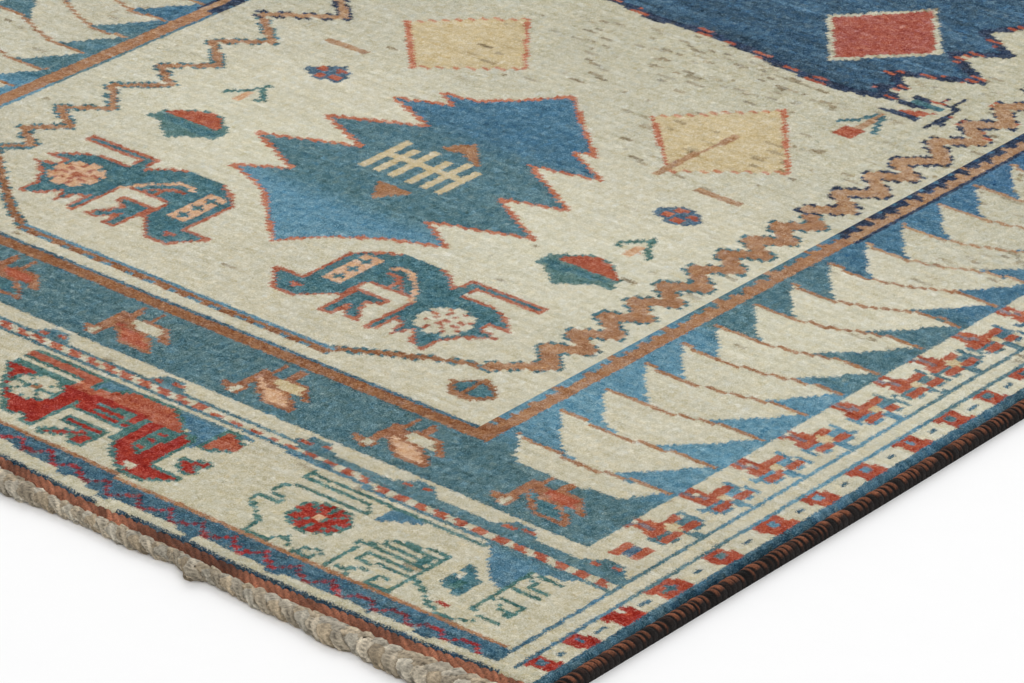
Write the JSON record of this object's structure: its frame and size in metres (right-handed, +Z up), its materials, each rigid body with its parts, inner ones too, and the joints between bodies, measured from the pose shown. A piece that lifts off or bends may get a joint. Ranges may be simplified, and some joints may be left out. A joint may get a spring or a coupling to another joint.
{
  "type": "gabbeh rug",
  "caption": "Hand-knotted wool rug lying flat, with overcast side cords, twined bands and plaited ends.",
  "frame": {"origin": "on the floor under the middle of the rug", "axes": "+Z up out of the pile, +Y along the length away from the front end, +X across to the right side cord"},
  "size_m": [1.074, 2.022, 0.0098],
  "materials": {
    "pile_wool": "matte wool pile",
    "selvedge_wool": "twisted wool yarn",
    "twined_wool": "twined wool yarn",
    "warp_yarn": "plaited undyed yarn"
  },
  "bodies": {
    "root": {"pile_rug": "pile_wool", "selvedge_right": "selvedge_wool", "selvedge_left": "selvedge_wool", "twined_band_front": "twined_wool", "twined_band_back": "twined_wool", "plaited_end_front": "warp_yarn", "plaited_end_back": "warp_yarn"}
  },
  "joints": []
}
